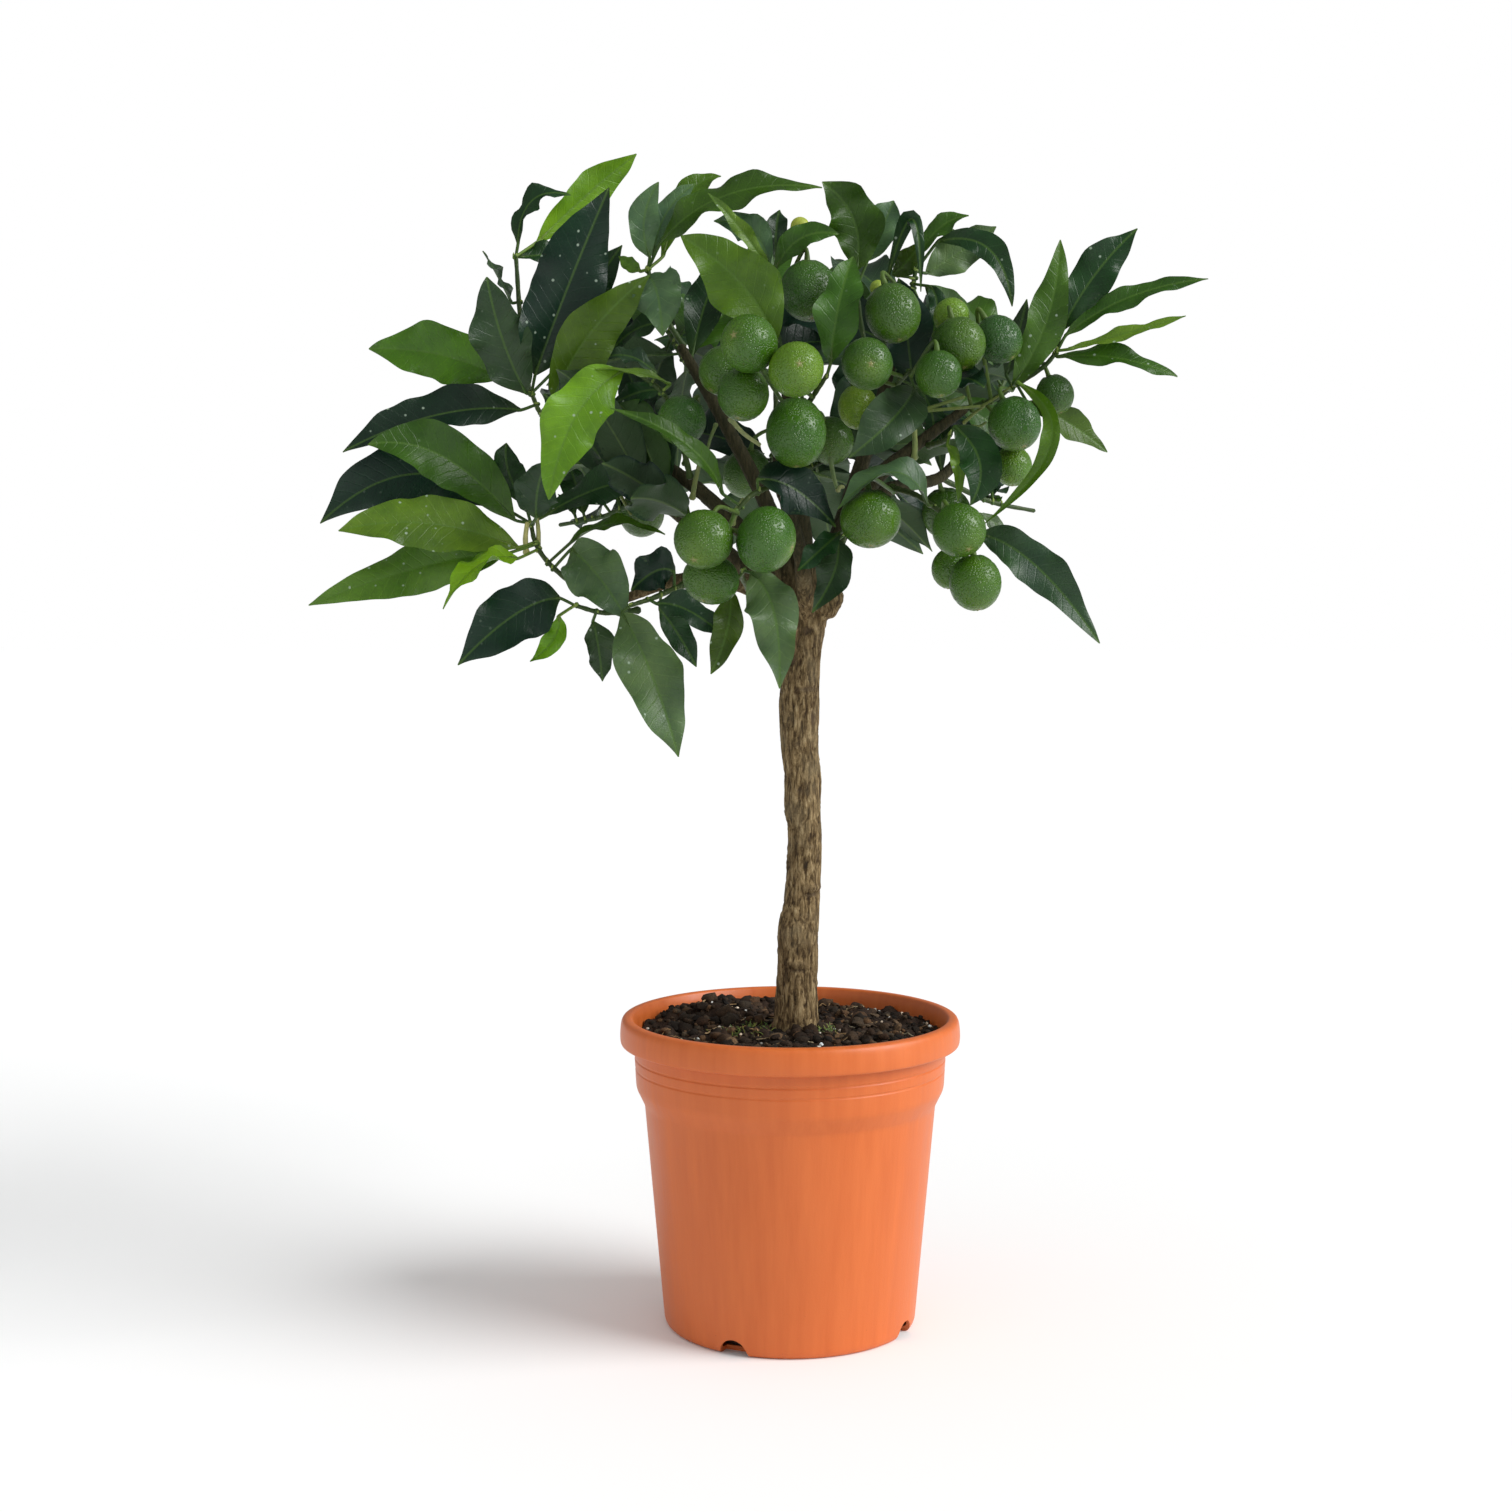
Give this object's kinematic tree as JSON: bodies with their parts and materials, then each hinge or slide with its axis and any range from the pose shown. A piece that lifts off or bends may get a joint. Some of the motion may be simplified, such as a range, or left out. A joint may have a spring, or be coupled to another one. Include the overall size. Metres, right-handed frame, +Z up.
{
  "type": "potted kumquat tree",
  "caption": "Small standard citrus tree with a woody stem, a rounded crown of pointed leaves and unripe round fruit, planted in a flared plastic nursery pot.",
  "frame": {"origin": "centre of the pot's underside, on the surface that it stands on", "axes": "+Z up along the stem, -Y towards the viewer in front, +X to that viewer's right"},
  "size_m": [0.4832, 0.376, 0.6547],
  "materials": {
    "pot_plastic": "satin",
    "potting_soil": "matte",
    "bark": "matte",
    "leaf": "satin",
    "kumquat_skin": "satin"
  },
  "bodies": {
    "root": {"kumquat_01": "kumquat_skin", "kumquat_02": "kumquat_skin", "kumquat_03": "kumquat_skin", "kumquat_04": "kumquat_skin", "kumquat_05": "kumquat_skin", "kumquat_06": "kumquat_skin", "kumquat_07": "kumquat_skin", "kumquat_08": "kumquat_skin", "kumquat_09": "kumquat_skin", "kumquat_10": "kumquat_skin", "kumquat_11": "kumquat_skin", "kumquat_12": "kumquat_skin", "kumquat_13": "kumquat_skin", "kumquat_14": "kumquat_skin", "kumquat_15": "kumquat_skin", "kumquat_16": "kumquat_skin", "kumquat_17": "kumquat_skin", "kumquat_18": "kumquat_skin", "kumquat_19": "kumquat_skin", "kumquat_20": "kumquat_skin", "kumquat_21": "kumquat_skin", "kumquat_22": "kumquat_skin", "kumquat_23": "kumquat_skin", "kumquat_24": "kumquat_skin", "kumquat_25": "kumquat_skin", "kumquat_26": "kumquat_skin", "kumquat_27": "kumquat_skin", "kumquat_28": "kumquat_skin", "pot": "pot_plastic", "soil": "potting_soil", "spray_back_left_low": "leaf", "spray_back_left_top": "leaf", "spray_back_low": "leaf", "spray_back_mid": "leaf", "spray_back_right_low": "leaf", "spray_back_right_top": "leaf", "spray_back_top": "leaf", "spray_centre_front": "leaf", "spray_centre_left": "leaf", "spray_centre_right": "leaf", "spray_centre_top": "leaf", "spray_fruit_low": "leaf", "spray_hang_left": "leaf", "spray_hang_mid": "leaf", "spray_inner_left": "leaf", "spray_inner_right": "leaf", "spray_left_low": "leaf", "spray_left_mid": "leaf", "spray_left_top": "leaf", "spray_left_under": "leaf", "spray_low_right": "leaf", "spray_over_trunk": "leaf", "spray_right_cluster": "leaf", "spray_right_low": "leaf", "spray_top_left": "leaf", "spray_top_mid": "leaf", "spray_top_right": "leaf", "spray_upper_left": "leaf", "spray_upper_right": "leaf", "tree_wood": "bark"}
  },
  "joints": []
}
